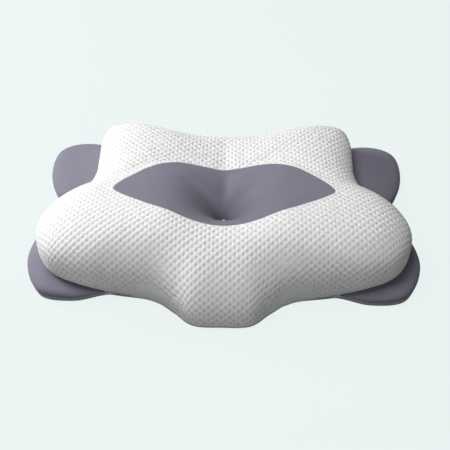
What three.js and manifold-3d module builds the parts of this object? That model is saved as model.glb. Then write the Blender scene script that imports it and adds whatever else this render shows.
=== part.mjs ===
// Contoured cervical support pillow: a moulded foam core with a raised butterfly body and four low
// wings, an inner liner, and a zipped outer cover that is tufted down into the core's funnel.
// Millimetres, +X to the right, +Y from the neck side to the head side, +Z up. The origin is on the
// resting face, under the middle of the pillow. All the cloth and foam is symmetric about X = 0.
import * as THREE from "three";
import { mergeVertices } from "three/addons/utils/BufferGeometryUtils.js";
import Module from "manifold-3d";

const wasm = await Module();
wasm.setup();

// ---------------------------------------------------------------- driving dimensions
const COVER = 2.0; // thickness of the outer cover's cloth
const LINER = 0.9; // thickness of the inner liner's cloth
const LAYER_GAP = 0.35; // clearance between one layer and the next
const SEAM_GAP = 0.3; // clearance between two panels along their seam

// The funnel in the middle of the centre panel, and the tuft that holds the cover down in it.
const FUNNEL = { y: -50, hole: 2.4, floor: 5.2, depth: 26, spread: 22, lean: 15 };
const FUNNEL_WALL_RADII = [9, 18, 32]; // rings between the funnel's floor and the edge of the panel
const WALL_SHARE = 0.6; // no such ring is further out than this share of the way to that edge
const PANEL_STEP = 0.45; // one more ring, at this share of the rest of the way
const BUTTON = { radius: 4.2, height: 6 };
const CORD_RADIUS = 0.9;
const BACKING = { radius: 13, height: 2.4, clearance: 0.8 };

const BASE_CORNER = 3; // width and height of the bevel around the resting face
const BASE_CENTRE_Y = 40; // the resting face fans out from here
const WING_GIRTH_SHARE = 0.3; // height of a wing's widest line, between its lip and its top
const WING_ROLL = 3; // squareness of a wing's section, 2 is an ellipse
const WING_TUCK = 2; // how far a wing's lower edge is tucked in from its widest line
const BODY_STEPS = [0.35, 0.62, 0.8, 0.92, 1]; // from the centre panel's edge, 0, to the girth, 1
const WING_STEPS = [0.5, 0.85, 1]; // from the body's seam, 0, to the wing's widest line, 1

// The right half of the pillow, from the middle of the neck side to the middle of the head side. Each
// station gives one point on every line that the surface runs through:
//   panel  edge of the centre panel, in plan
//   girth  the raised body's widest line: x, y, z
//   seam   lower edge of the body's panel, on a wing or at the base: x, y, z
//   edge   outline of the wings and the base: x, y, and z of the base panel's lip
//   roll   squareness of the body's section out to the girth, 2 is an ellipse
//   tuck   share of the way from girth to seam, in plan, reached at a third of its height
const STATIONS = [
  // panel, girth, seam, edge, roll, tuck
  [[0, -88], [0, -211, 14], [0, -210, 4], [0, -210, 4], 2.0, 0.7],
  [[15, -87], [46, -208, 16], [45, -207, 4], [45, -207, 4], 2.0, 0.7],
  [[33, -84], [78, -182, 22], [76, -182, 4], [76, -182, 4], 2.15, 0.7],
  [[57, -77], [112, -162, 30], [110, -159, 4], [110, -159, 4], 2.35, 0.6],
  [[87, -64], [174, -155, 40], [177, -147, 9], [177, -147, 9], 2.55, 0.5],
  [[118, -50], [230, -152, 44], [222, -143, 20], [236, -162, 8], 2.9, 0.4],
  [[147, -34], [279, -129, 48], [272, -124, 28], [292, -153, 8], 3.1, 0.4],
  [[169, -20], [304, -77, 50], [299, -78, 32], [321, -98, 8], 3.0, 0.4],
  [[182, -4], [294, -27, 52], [289, -31, 32], [316, -40, 8], 2.7, 0.4],
  [[170, 21], [271, 9, 54], [265, 3, 25], [293, 2, 8], 2.5, 0.4],
  [[153, 42], [240, 36, 52], [259, 34, 16], [259, 34, 16], 2.6, 0.5],
  [[136, 60], [228, 76, 52], [226, 74, 32], [300, 72, 8], 3.0, 0.4],
  [[118, 73], [227, 120, 52], [223, 118, 38], [320, 128, 8], 3.5, 0.4],
  [[100, 82], [228, 166, 52], [223, 162, 38], [315, 189, 8], 3.8, 0.4],
  [[82, 88], [217, 200, 52], [212, 194, 32], [273, 214, 8], 3.8, 0.4],
  [[64, 90], [184, 211, 50], [198, 204, 17.5], [198, 204, 17.5], 3.8, 0.8],
  [[44, 89], [140, 206, 46], [176, 192, 17], [176, 192, 17], 3.8, 1],
  [[22, 86], [70, 196, 42], [80, 192, 17], [80, 192, 17], 3.8, 1],
  [[0, 84], [0, 194, 40], [0, 192, 17], [0, 192, 17], 3.8, 1],
].map(([panel, girth, seam, edge, roll, tuck]) => ({ panel, girth, seam, edge, roll, tuck }));
const LINES = ["panel", "girth", "seam", "edge", "roll", "tuck"];
const STEPS_PER_SPAN = [2, 2, 1, 1, 2, 2, 2, 2, 1, 2, 2, 2, 1, 2, 1, 1, 1, 1]; // more where the outline turns
const FRONT_WING = [4, 10]; // first and last station of each wing
const REAR_WING = [10, 15];
const FLAT_BACK = 16; // from this station on, the back is flat and holds the zipper
const UNDER_SHARE = 0.58; // height of the line where the tuck is measured, down from the girth

// Height of the top along the middle of the pillow and along its sides: y, z.
const MIDDLE_HEIGHTS = [
  [-208, 104], [-115, 106], [-65, 101], [-20, 87], [40, 75], [90, 73], [135, 74], [200, 83],
];
const SIDE_HEIGHTS = [
  [-165, 112], [-90, 116], [-50, 114], [0, 106], [50, 96], [100, 91], [150, 93], [215, 100],
];
// How far out from the middle, at each y, the height has gone over to that of the sides.
const SIDE_REACH = [[-208, 160], [-110, 120], [-50, 100], [20, 100], [90, 130], [150, 160]];

// The zipper, in the seam between the body's panel and the base panel, along the flat back.
const ZIP_ROOM = 7; // extra depth of the foam and the liner behind the zipper
const ZIP = { z: 17, halfLength: 142, openingHalf: 7 };
const TAPE = { halfLength: 148, reach: 8.6, thickness: 0.8 };
const COIL = { slotHalf: 0.75, height: 2.6, depth: 2, crown: 0.6 };
const STOP = { length: 3, inset: 2.5 };
const SLIDER = { length: 12, halfHeight: 5.4, tail: 0.78, front: 0.8, nose: 3.5, plate: 1.2, rim: 1.2 };
const POST = { half: 0.4, length: 4 };
const BRIDGE = { halfLength: 4.2, post: 1, halfWidth: 1, window: 2.4, roof: 1 };
const PULL = { axle: 0.65, armGap: 0.4, arm: 1.2, reach: 5.4, length: 25, thickness: 1.4, tip: 2.6 };
const CLEAR = 0.3; // clearance between the zipper's moving and fixed pieces
const SLIDER_START = -126; // x of the slider when the zipper is shut
const LABEL = { x: 167, width: 14, height: 15, thickness: 0.8 };
const ROUND_SIDES = 20;

// ---------------------------------------------------------------- small helpers
const lerp = (a, b, t) => a + (b - a) * t;

function smoothstep(low, high, value) {
  const t = Math.min(1, Math.max(0, (value - low) / (high - low)));
  return t * t * (3 - 2 * t);
}

/** Catmull-Rom value between b and c, for numbers or arrays of numbers. */
function spline(a, b, c, d, t) {
  if (Array.isArray(b)) return b.map((_, n) => spline(a[n], b[n], c[n], d[n], t));
  const cubic = -a + 3 * b - 3 * c + d;
  const square = 2 * a - 5 * b + 4 * c - d;
  return 0.5 * (2 * b + (c - a) * t + square * t * t + cubic * t * t * t);
}

/** Value at x of the smooth curve through the given [x, value] knots, held level beyond them. */
function curveThrough(knots, x) {
  const last = knots.length - 1;
  if (x <= knots[0][0]) return knots[0][1];
  if (x >= knots[last][0]) return knots[last][1];
  const n = knots.findIndex((knot) => knot[0] > x) - 1;
  const value = (index) => knots[Math.min(last, Math.max(0, index))][1];
  const t = (x - knots[n][0]) / (knots[n + 1][0] - knots[n][0]);
  return spline(value(n - 1), value(n), value(n + 1), value(n + 2), t);
}

// ---------------------------------------------------------------- the outer skin
/** Height of the pillow's top before its edges roll over, with the funnel's dip. */
function topHeight(x, y) {
  const side = smoothstep(0, curveThrough(SIDE_REACH, y), Math.abs(x));
  const height = lerp(curveThrough(MIDDLE_HEIGHTS, y), curveThrough(SIDE_HEIGHTS, y), side);
  const radius = Math.hypot(x, y - FUNNEL.y);
  const spread = FUNNEL.spread + (FUNNEL.lean * (y - FUNNEL.y)) / radius; // steeper on the neck side
  return height - FUNNEL.depth * Math.exp(-Math.max(0, radius - FUNNEL.floor) / spread);
}

/** One column of the skin for every step around the pillow, counter-clockwise from the neck side. */
function skinColumns() {
  const last = STATIONS.length - 1;
  const columns = [];
  const station = (n) => STATIONS[Math.min(2 * last - n, Math.abs(n))] ?? STATIONS[last];
  const side = (n) => (n < 0 || n > last ? -1 : 1);
  const pick = (n, line) => {
    const value = station(n)[line];
    return Array.isArray(value) ? [value[0] * side(n), ...value.slice(1)] : value;
  };
  for (let span = 0; span < last; span++) {
    for (let step = 0; step < STEPS_PER_SPAN[span]; step++) {
      const t = step / STEPS_PER_SPAN[span];
      const column = { station: span + t };
      for (const line of LINES) {
        const around = [-1, 0, 1, 2].map((n) => pick(span + n, line));
        column[line] = spline(...around, t);
      }
      const onWing = span >= FRONT_WING[0] && span < REAR_WING[1];
      if (!onWing) column.edge = [...column.seam];
      columns.push(column);
    }
  }
  const back = { station: last, ...STATIONS[last] };
  const mirrored = columns.slice(1).reverse().map((column) => {
    const flipped = { ...column, station: 2 * last - column.station };
    for (const line of ["panel", "girth", "seam", "edge"]) {
      flipped[line] = [-column[line][0], ...column[line].slice(1)];
    }
    return flipped;
  });
  return [...columns, back, ...mirrored];
}

/** The skin's rings for one column, from the funnel's hole out over the body and wing to the base. */
function ringPoints(column, inward) {
  const { panel, girth, seam, edge, roll, tuck } = column;
  const onTop = (x, y) => new THREE.Vector3(x, y, topHeight(x, y));
  const reach = Math.hypot(panel[0], panel[1] - FUNNEL.y);
  const radii = [FUNNEL.hole, FUNNEL.floor];
  for (const radius of FUNNEL_WALL_RADII) {
    radii.push(Math.min(radius, lerp(radii.at(-1), reach, WALL_SHARE)));
  }
  radii.push(lerp(radii.at(-1), reach, PANEL_STEP));
  const aim = [panel[0] / reach, (panel[1] - FUNNEL.y) / reach];
  const points = radii.map((radius) => onTop(aim[0] * radius, FUNNEL.y + aim[1] * radius));
  points.push(onTop(...panel));
  for (const t of BODY_STEPS) {
    const point = onTop(lerp(panel[0], girth[0], t), lerp(panel[1], girth[1], t));
    point.z = lerp(girth[2], point.z, (1 - t ** roll) ** (1 / roll));
    points.push(point);
  }
  const under = [0, 1].map((n) => lerp(girth[n], seam[n], tuck));
  points.push(new THREE.Vector3(...under, lerp(girth[2], seam[2], UNDER_SHARE)));
  points.push(new THREE.Vector3(...seam));
  const rise = seam[2] - edge[2];
  const widest = edge[2] + rise * WING_GIRTH_SHARE;
  for (const t of WING_STEPS) {
    const z = lerp(widest, seam[2], (1 - t ** WING_ROLL) ** (1 / WING_ROLL));
    points.push(new THREE.Vector3(lerp(seam[0], edge[0], t), lerp(seam[1], edge[1], t), z));
  }
  const tucked = Math.min(WING_TUCK, Math.max(0, rise) / 8);
  const foot = Math.min(BASE_CORNER, edge[2] * 0.6);
  points.push(new THREE.Vector3(...edge).addScaledVector(inward, tucked));
  points.push(new THREE.Vector3(edge[0], edge[1], foot).addScaledVector(inward, tucked));
  points.push(new THREE.Vector3(edge[0], edge[1], 0).addScaledVector(inward, tucked + BASE_CORNER));
  points.push(new THREE.Vector3(0, BASE_CENTRE_Y, 0));
  return points;
}

const columns = skinColumns();
const COLUMNS = columns.length;
const wrap = (n) => (n + COLUMNS) % COLUMNS;

/** Level direction from the outline towards the inside of the pillow, at one column. */
function inwardAt(n) {
  const [x0, y0] = columns[wrap(n - 1)].edge;
  const [x1, y1] = columns[wrap(n + 1)].edge;
  return new THREE.Vector3(y0 - y1, x1 - x0, 0).normalize();
}

const skin = columns.map((column, n) => ringPoints(column, inwardAt(n)));
const RING = { hole: 0, panel: 3 + FUNNEL_WALL_RADII.length };
RING.under = RING.panel + BODY_STEPS.length + 1;
RING.seam = RING.under + 1;
RING.lip = RING.seam + WING_STEPS.length + 1;
RING.centre = RING.lip + 3;

const keyOf = (point) => point.toArray().map((value) => Math.round(value * 1000)).join();

/** For every skin point, the vector that moves it 1 mm square to all of the faces around it. */
function offsetVectors() {
  const sums = new Map();
  const addCorner = (a, b, c) => {
    const left = b.clone().sub(a);
    const right = c.clone().sub(a);
    const normal = left.clone().cross(right);
    if (normal.length() < 1e-6) return;
    const angle = left.angleTo(right);
    const sum = sums.get(keyOf(a)) ?? { normal: new THREE.Vector3(), weight: 0 };
    sum.normal.addScaledVector(normal.normalize(), angle);
    sum.weight += angle;
    sums.set(keyOf(a), sum);
  };
  for (let n = 0; n < COLUMNS; n++) {
    for (let ring = 0; ring < RING.centre; ring++) {
      const [a, b] = [skin[n][ring], skin[n][ring + 1]];
      const [d, c] = [skin[wrap(n + 1)][ring], skin[wrap(n + 1)][ring + 1]];
      for (const [p, q, r] of [[a, b, c], [a, c, d]]) {
        addCorner(p, q, r);
        addCorner(q, r, p);
        addCorner(r, p, q);
      }
    }
  }
  return skin.map((column) => column.map((point, ring) => {
    const { normal, weight } = sums.get(keyOf(point));
    const mean = normal.clone().divideScalar(weight);
    mean.divideScalar(Math.max(0.3, mean.lengthSq()));
    if (ring >= RING.centre - 1) mean.z = -1; // keeps every layer of the base flat
    return mean;
  }));
}

const offsets = offsetVectors();

/** The skin's points moved in by a depth; the lower back also makes room for the zipper. */
function layer(depth, room = 0) {
  return skin.map((column, n) => {
    const mirror = Math.min(columns[n].station, 2 * (STATIONS.length - 1) - columns[n].station);
    const share = smoothstep(FLAT_BACK - 1, FLAT_BACK, mirror);
    return column.map((point, ring) => {
      const moved = point.clone().addScaledVector(offsets[n][ring], -depth);
      if (ring >= RING.under && ring < RING.centre) moved.y -= room * share;
      return moved;
    });
  });
}

const coverFace = layer(0);
const coverBack = layer(COVER);
const linerFace = layer(COVER + LAYER_GAP, ZIP_ROOM);
const linerBack = layer(COVER + LAYER_GAP + LINER, ZIP_ROOM);
const foamFace = layer(COVER + LINER + 2 * LAYER_GAP, ZIP_ROOM);
foamFace.forEach((column) => column.unshift(new THREE.Vector3(0, FUNNEL.y, foamFace[0][0].z)));

// ---------------------------------------------------------------- building closed bodies
/** A closed geometry from a list of corner triples; collapsed triangles are dropped. */
function closedGeometry(triangles) {
  const kept = triangles.filter(([a, b, c]) => new Set([keyOf(a), keyOf(b), keyOf(c)]).size === 3);
  const snapped = kept.flat().flatMap((point) => keyOf(point).split(",").map((value) => value / 1000));
  const geometry = new THREE.BufferGeometry();
  geometry.setAttribute("position", new THREE.Float32BufferAttribute(snapped, 3));
  return mergeVertices(geometry);
}

const quad = (a, b, c, d) => [[a, b, c], [a, c, d]];

/** A seam allowance: the rows from first to last, with both end rows drawn in by half the seam gap. */
function trimmedRows(column, first, last, trimFirst, trimLast) {
  const rows = column.slice(first, last + 1);
  const drawIn = (end, next) => {
    const length = end.distanceTo(next);
    return length < SEAM_GAP ? end : end.clone().lerp(next, SEAM_GAP / 2 / length);
  };
  if (trimFirst) rows[0] = drawIn(column[first], column[first + 1]);
  if (trimLast) rows[rows.length - 1] = drawIn(column[last], column[last - 1]);
  return rows;
}

/**
 * A panel of cloth between two layers, from ring first to ring last. With a range of columns it is a
 * patch; without one it goes all the way round.
 */
function clothPanel(face, back, { first, last, trimFirst = true, trimLast = true, range = null }) {
  const [from, to] = range ?? [0, COLUMNS];
  const strip = (grid) => {
    const picked = [];
    for (let n = from; n <= to; n++) {
      picked.push(trimmedRows(grid[wrap(n)], first, last, trimFirst, trimLast));
    }
    return picked;
  };
  const [outer, inner] = [strip(face), strip(back)];
  const rows = last - first;
  const triangles = [];
  for (let n = 0; n < to - from; n++) {
    const [p, q] = [outer[n], outer[n + 1]];
    const [r, s] = [inner[n], inner[n + 1]];
    for (let ring = 0; ring < rows; ring++) {
      triangles.push(...quad(p[ring], p[ring + 1], q[ring + 1], q[ring]));
      triangles.push(...quad(r[ring], s[ring], s[ring + 1], r[ring + 1]));
    }
    triangles.push(...quad(p[0], q[0], s[0], r[0]));
    triangles.push(...quad(p[rows], r[rows], s[rows], q[rows]));
  }
  return closedGeometry(triangles);
}

/** The solid inside a layer whose first and last rings are single points. */
function solidInside(face) {
  const triangles = [];
  for (let n = 0; n < COLUMNS; n++) {
    const [p, q] = [face[n], face[wrap(n + 1)]];
    for (let ring = 0; ring < p.length - 1; ring++) {
      triangles.push(...quad(p[ring], p[ring + 1], q[ring + 1], q[ring]));
    }
  }
  return closedGeometry(triangles);
}

function toManifold(source) {
  const geometry = source.clone();
  geometry.deleteAttribute("normal");
  geometry.deleteAttribute("uv");
  const merged = mergeVertices(geometry, 1e-4);
  const vertProperties = new Float32Array(merged.attributes.position.array);
  const triVerts = new Uint32Array(merged.index.array);
  return new wasm.Manifold(new wasm.Mesh({ numProp: 3, vertProperties, triVerts }));
}

function toGeometry(manifold) {
  const mesh = manifold.getMesh();
  const geometry = new THREE.BufferGeometry();
  geometry.setAttribute("position", new THREE.BufferAttribute(new Float32Array(mesh.vertProperties), 3));
  geometry.setIndex(new THREE.BufferAttribute(new Uint32Array(mesh.triVerts), 1));
  return geometry;
}

function cut(body, ...tools) {
  return toGeometry(tools.reduce((rest, tool) => rest.subtract(toManifold(tool)), toManifold(body)));
}

function join(...bodies) {
  return toGeometry(bodies.map(toManifold).reduce((whole, other) => whole.add(other)));
}

/** A box from its two opposite corners. */
function boxBetween([x0, y0, z0], [x1, y1, z1]) {
  const box = new THREE.BoxGeometry(x1 - x0, y1 - y0, z1 - z0);
  return box.translate((x0 + x1) / 2, (y0 + y1) / 2, (z0 + z1) / 2);
}

/** An upright disc or cylinder on the funnel's axis. */
function tuftCylinder(radius, z0, z1) {
  const cylinder = new THREE.CylinderGeometry(radius, radius, z1 - z0, ROUND_SIDES);
  return cylinder.rotateX(Math.PI / 2).translate(0, FUNNEL.y, (z0 + z1) / 2);
}

// ---------------------------------------------------------------- materials and the assembly
const LOOKS = {
  whiteKnit: ["#eceded", 0.9],
  greyKnit: ["#77737f", 0.85],
  baseKnit: ["#b9babd", 0.9],
  liner: ["#f1f1ef", 0.9],
  foam: ["#f3efe2", 0.95],
  tape: ["#85818d", 0.9],
  coil: ["#6d6a75", 0.5],
  zincAlloy: ["#8f8d95", 0.35, 0.9],
  hardPlastic: ["#f4f4f2", 0.4],
  cord: ["#dededc", 0.8],
  label: ["#fafafa", 0.7],
};

const pillow = new THREE.Group();
pillow.name = "cervical_pillow";

function add(name, look, geometry) {
  const [color, roughness, metalness = 0] = LOOKS[look];
  const mesh = new THREE.Mesh(geometry, new THREE.MeshStandardMaterial({ color, roughness, metalness }));
  mesh.name = name;
  pillow.add(mesh);
}

// ---------------------------------------------------------------- foam, liner and cover
const columnAt = (station) => columns.findIndex((column) => column.station === station);
const mirroredStation = (station) => 2 * (STATIONS.length - 1) - station;
const wingRanges = {
  wing_panel_front_right: FRONT_WING,
  wing_panel_rear_right: REAR_WING,
  wing_panel_rear_left: REAR_WING.map(mirroredStation).reverse(),
  wing_panel_front_left: FRONT_WING.map(mirroredStation).reverse(),
};

const foamBottom = foamFace[0].at(-1).z;
const pocketRoof = foamBottom + BACKING.height + BACKING.clearance + CLEAR;
const floorTop = coverFace[0][RING.hole].z;
const bore = tuftCylinder(FUNNEL.hole, foamBottom - 1, floorTop);
const pocket = tuftCylinder(BACKING.radius + BACKING.clearance, foamBottom - 1, pocketRoof);
add("foam_core", "foam", cut(solidInside(foamFace), bore, pocket));

const linerTop = { first: RING.hole, last: RING.lip, trimFirst: false };
const linerBase = { first: RING.lip, last: RING.centre, trimLast: false };
add("liner_top", "liner", clothPanel(linerFace, linerBack, linerTop));
add("liner_base", "liner", clothPanel(linerFace, linerBack, linerBase));

const backY = STATIONS.at(-1).seam[1];
const zipOpening = boxBetween(
  [-ZIP.halfLength, backY - 3 * COVER, ZIP.z - ZIP.openingHalf],
  [ZIP.halfLength, backY + 3 * COVER, ZIP.z + ZIP.openingHalf],
);
const bodyPanel = clothPanel(coverFace, coverBack, { first: RING.panel, last: RING.seam });
const basePanel = clothPanel(coverFace, coverBack, { first: RING.lip, last: RING.centre, trimLast: false });
add("cover_body_panel", "whiteKnit", cut(bodyPanel, zipOpening));
add("cover_base_panel", "baseKnit", cut(basePanel, zipOpening));
add(
  "cover_centre_panel", "greyKnit",
  clothPanel(coverFace, coverBack, { first: RING.hole, last: RING.panel, trimFirst: false }),
);
for (const [name, stations] of Object.entries(wingRanges)) {
  const range = stations.map(columnAt);
  add(name, "greyKnit", clothPanel(coverFace, coverBack, { first: RING.seam, last: RING.lip, range }));
}

// ---------------------------------------------------------------- the tuft in the funnel
const buttonZ = floorTop + CLEAR;
const button = new THREE.LatheGeometry([
  new THREE.Vector2(0, 0),
  new THREE.Vector2(BUTTON.radius * 0.8, 0),
  new THREE.Vector2(BUTTON.radius, BUTTON.height * 0.4),
  new THREE.Vector2(BUTTON.radius * 0.75, BUTTON.height * 0.9),
  new THREE.Vector2(0, BUTTON.height),
], ROUND_SIDES);
add("tuft_button", "hardPlastic", mergeVertices(button.rotateX(Math.PI / 2).translate(0, FUNNEL.y, buttonZ)));
const backingTop = pocketRoof - CLEAR;
add("tuft_cord", "cord", tuftCylinder(CORD_RADIUS, backingTop + CLEAR, buttonZ - CLEAR));
const disc = tuftCylinder(BACKING.radius, backingTop - BACKING.height, backingTop);
add("tuft_backing_disc", "hardPlastic", disc);

// ---------------------------------------------------------------- the zipper
const clothBack = backY - COVER;
const tapeFace = clothBack - LAYER_GAP;
const tapeBack = tapeFace - TAPE.thickness;
const coilBack = tapeFace + CLEAR;
const coilFace = coilBack + COIL.depth;

/** One row of the coil: a flat-backed bar with a rounded front, on one side of the slot. */
function coilRow(side) {
  const near = ZIP.z + side * COIL.slotHalf;
  const far = near + side * COIL.height;
  const section = new THREE.Shape();
  section.moveTo(coilBack, near);
  section.lineTo(coilFace - COIL.crown, near);
  section.quadraticCurveTo(coilFace + COIL.crown, (near + far) / 2, coilFace - COIL.crown, far);
  section.lineTo(coilBack, far);
  const length = 2 * (ZIP.halfLength - STOP.inset - STOP.length - CLEAR);
  const shape = { depth: length, bevelEnabled: false, curveSegments: 4 };
  const row = new THREE.ExtrudeGeometry(section, shape);
  // The section is drawn with its x along the pillow's Y and its y along Z, then swept along X.
  row.applyMatrix4(new THREE.Matrix4().set(0, 0, 1, -length / 2, 1, 0, 0, 0, 0, 1, 0, 0, 0, 0, 0, 1));
  return row;
}

for (const [row, side] of [["upper", 1], ["lower", -1]]) {
  const edges = [ZIP.z + side * COIL.slotHalf, ZIP.z + side * TAPE.reach].sort((a, b) => a - b);
  const tape = boxBetween(
    [-TAPE.halfLength, tapeBack, edges[0]],
    [TAPE.halfLength, tapeFace, edges[1]],
  );
  add(`zipper_tape_${row}`, "tape", tape);
  add(`zipper_coil_${row}`, "coil", coilRow(side));
}

const coilReach = COIL.slotHalf + COIL.height;
for (const [end, side] of [["top", -1], ["bottom", 1]]) {
  const far = side * (ZIP.halfLength - STOP.inset);
  const near = far - side * STOP.length;
  const stop = boxBetween(
    [Math.min(near, far), coilBack, ZIP.z - coilReach],
    [Math.max(near, far), coilFace, ZIP.z + coilReach],
  );
  add(`zipper_${end}_stop`, "zincAlloy", stop);
}

// The slider: a front plate with two rims, a back plate behind the tapes, and a post between the
// coils that joins them. Seen from the front the plates taper towards the shut end.
const plateBack = coilFace + CLEAR;
const plateFace = plateBack + SLIDER.plate;
const rearPlateFace = tapeBack - CLEAR;
const sliderEnds = [SLIDER_START - SLIDER.length / 2, SLIDER_START + SLIDER.length / 2];

/** A plate of the slider between two depths, narrower at its shut end. */
function sliderPlate(y0, y1) {
  const tail = SLIDER.halfHeight * SLIDER.tail;
  const front = SLIDER.halfHeight * SLIDER.front;
  const outline = new THREE.Shape();
  outline.moveTo(sliderEnds[0], ZIP.z - tail);
  outline.lineTo(sliderEnds[1] - SLIDER.nose, ZIP.z - SLIDER.halfHeight);
  outline.lineTo(sliderEnds[1], ZIP.z - front);
  outline.lineTo(sliderEnds[1], ZIP.z + front);
  outline.lineTo(sliderEnds[1] - SLIDER.nose, ZIP.z + SLIDER.halfHeight);
  outline.lineTo(sliderEnds[0], ZIP.z + tail);
  const plate = new THREE.ExtrudeGeometry(outline, { depth: y1 - y0, bevelEnabled: false });
  return plate.rotateX(Math.PI / 2).translate(0, y1, 0);
}

const postX = sliderEnds[1] - POST.length;
const sliderPieces = [
  sliderPlate(plateBack, plateFace),
  sliderPlate(rearPlateFace - SLIDER.plate, rearPlateFace),
  boxBetween(
    [postX, rearPlateFace - SLIDER.plate / 2, ZIP.z - POST.half],
    [sliderEnds[1] - CLEAR, plateBack + SLIDER.plate / 2, ZIP.z + POST.half],
  ),
];
for (const side of [-1, 1]) {
  const outside = ZIP.z + side * (coilReach + CLEAR + SLIDER.rim);
  const inside = ZIP.z + side * (coilReach + CLEAR);
  sliderPieces.push(boxBetween(
    [sliderEnds[0] + 1, tapeFace + CLEAR, Math.min(inside, outside)],
    [sliderEnds[1] - 1, plateBack + SLIDER.plate / 2, Math.max(inside, outside)],
  ));
}
const bridgeUnderside = plateFace + BRIDGE.window;
const bridgeTop = bridgeUnderside + BRIDGE.roof;
const bridgeEnds = [SLIDER_START - BRIDGE.halfLength, SLIDER_START + BRIDGE.halfLength];
const bridgeBlock = boxBetween(
  [bridgeEnds[0], plateFace - SLIDER.plate / 2, ZIP.z - BRIDGE.halfWidth],
  [bridgeEnds[1], bridgeTop, ZIP.z + BRIDGE.halfWidth],
);
const bridgeWindow = boxBetween(
  [bridgeEnds[0] + BRIDGE.post, plateFace, ZIP.z - 2 * BRIDGE.halfWidth],
  [bridgeEnds[1] - BRIDGE.post, bridgeUnderside, ZIP.z + 2 * BRIDGE.halfWidth],
);
add("zipper_slider", "zincAlloy", join(...sliderPieces, cut(bridgeBlock, bridgeWindow)));

// The pull: an axle under the bridge, two arms beside it, and a tab that lies along the zipper.
const axleY = plateFace + BRIDGE.window / 2;
const armInside = BRIDGE.halfWidth + PULL.armGap;
const armOutside = armInside + PULL.arm;
const axle = new THREE.CylinderGeometry(PULL.axle, PULL.axle, 2 * armOutside, 12);
axle.rotateX(Math.PI / 2).translate(SLIDER_START, axleY, ZIP.z);
const tabOutline = new THREE.Shape();
const tabEnd = PULL.length - PULL.tip;
tabOutline.moveTo(PULL.reach, -armOutside);
tabOutline.lineTo(tabEnd, -PULL.tip);
tabOutline.absarc(tabEnd, 0, PULL.tip, -Math.PI / 2, Math.PI / 2);
tabOutline.lineTo(PULL.reach, armOutside);
const tabShape = { depth: PULL.thickness, bevelEnabled: false, curveSegments: 6 };
const tab = new THREE.ExtrudeGeometry(tabOutline, tabShape);
tab.rotateX(Math.PI / 2).translate(SLIDER_START, axleY + PULL.thickness / 2, ZIP.z);
const arms = [-1, 1].map((side) => {
  const [below, above] = [side * armInside, side * armOutside].sort((a, b) => a - b);
  return boxBetween(
    [SLIDER_START - PULL.axle, axleY - PULL.axle, ZIP.z + below],
    [SLIDER_START + PULL.reach + 1, axleY + PULL.axle, ZIP.z + above],
  );
});
add("zipper_pull", "zincAlloy", join(tab, axle, ...arms));

// ---------------------------------------------------------------- the blank care label
const labelTop = ZIP.z + CLEAR;
add("care_label", "label", boxBetween(
  [LABEL.x - LABEL.width / 2, backY + CLEAR, labelTop - LABEL.height],
  [LABEL.x + LABEL.width / 2, backY + CLEAR + LABEL.thickness, labelTop],
));

export default pillow;
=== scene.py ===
"""Contoured cervical pillow: the visible cloth, foam and zipper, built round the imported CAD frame.

The soft pieces are lofted through the same stations as the CAD part, then pressed out by a cloth
simulation and given their knit. Lengths are in millimetres until a mesh is made.
"""
import math

import bmesh
import bpy
import numpy as np
from mathutils import Euler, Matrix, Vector
from mathutils.kdtree import KDTree


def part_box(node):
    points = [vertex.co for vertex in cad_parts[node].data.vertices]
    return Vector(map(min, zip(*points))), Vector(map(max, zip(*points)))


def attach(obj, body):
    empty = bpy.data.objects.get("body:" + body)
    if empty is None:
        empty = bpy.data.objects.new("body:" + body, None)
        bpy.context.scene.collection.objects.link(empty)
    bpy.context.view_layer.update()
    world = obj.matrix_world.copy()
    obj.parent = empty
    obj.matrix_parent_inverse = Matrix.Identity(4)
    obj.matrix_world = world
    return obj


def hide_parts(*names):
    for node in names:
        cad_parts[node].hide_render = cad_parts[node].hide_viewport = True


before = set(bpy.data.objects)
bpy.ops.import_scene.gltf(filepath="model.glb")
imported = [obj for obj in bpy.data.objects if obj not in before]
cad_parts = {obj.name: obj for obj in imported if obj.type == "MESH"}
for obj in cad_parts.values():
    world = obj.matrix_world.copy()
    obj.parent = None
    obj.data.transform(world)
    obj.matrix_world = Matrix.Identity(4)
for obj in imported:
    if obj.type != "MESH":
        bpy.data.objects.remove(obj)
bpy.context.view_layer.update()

MM = 0.001

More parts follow.
